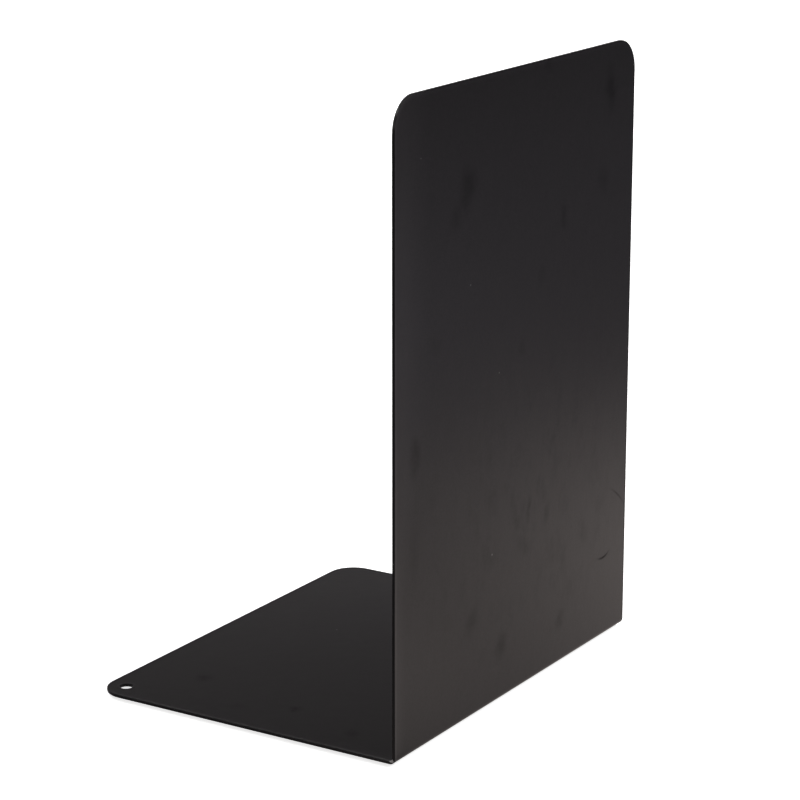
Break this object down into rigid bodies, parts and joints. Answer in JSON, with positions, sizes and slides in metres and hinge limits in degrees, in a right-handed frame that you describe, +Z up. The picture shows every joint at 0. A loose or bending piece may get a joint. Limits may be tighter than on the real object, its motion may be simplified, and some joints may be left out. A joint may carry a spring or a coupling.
{
  "type": "book end",
  "caption": "L-shaped sheet steel book end with a tall upright, a shallow base with a hanging hole, rounded corners and anti-slip pads.",
  "frame": {"origin": "on the surface that the pads rest on, under the middle of the bounding box", "axes": "+Z up along the upright; the base runs towards -X and the upright's outer face looks along +X; Y runs along the bend, with the hanging hole on the -Y side"},
  "size_m": [0.135, 0.175, 0.241],
  "materials": {
    "powder_coated_steel": "satin black powder coat",
    "pad_rubber": "matte grey"
  },
  "bodies": {
    "root": {"bent_plate": "powder_coated_steel", "pad_heel_left": "pad_rubber", "pad_heel_right": "pad_rubber", "pad_toe_left": "pad_rubber", "pad_toe_right": "pad_rubber"}
  },
  "joints": []
}
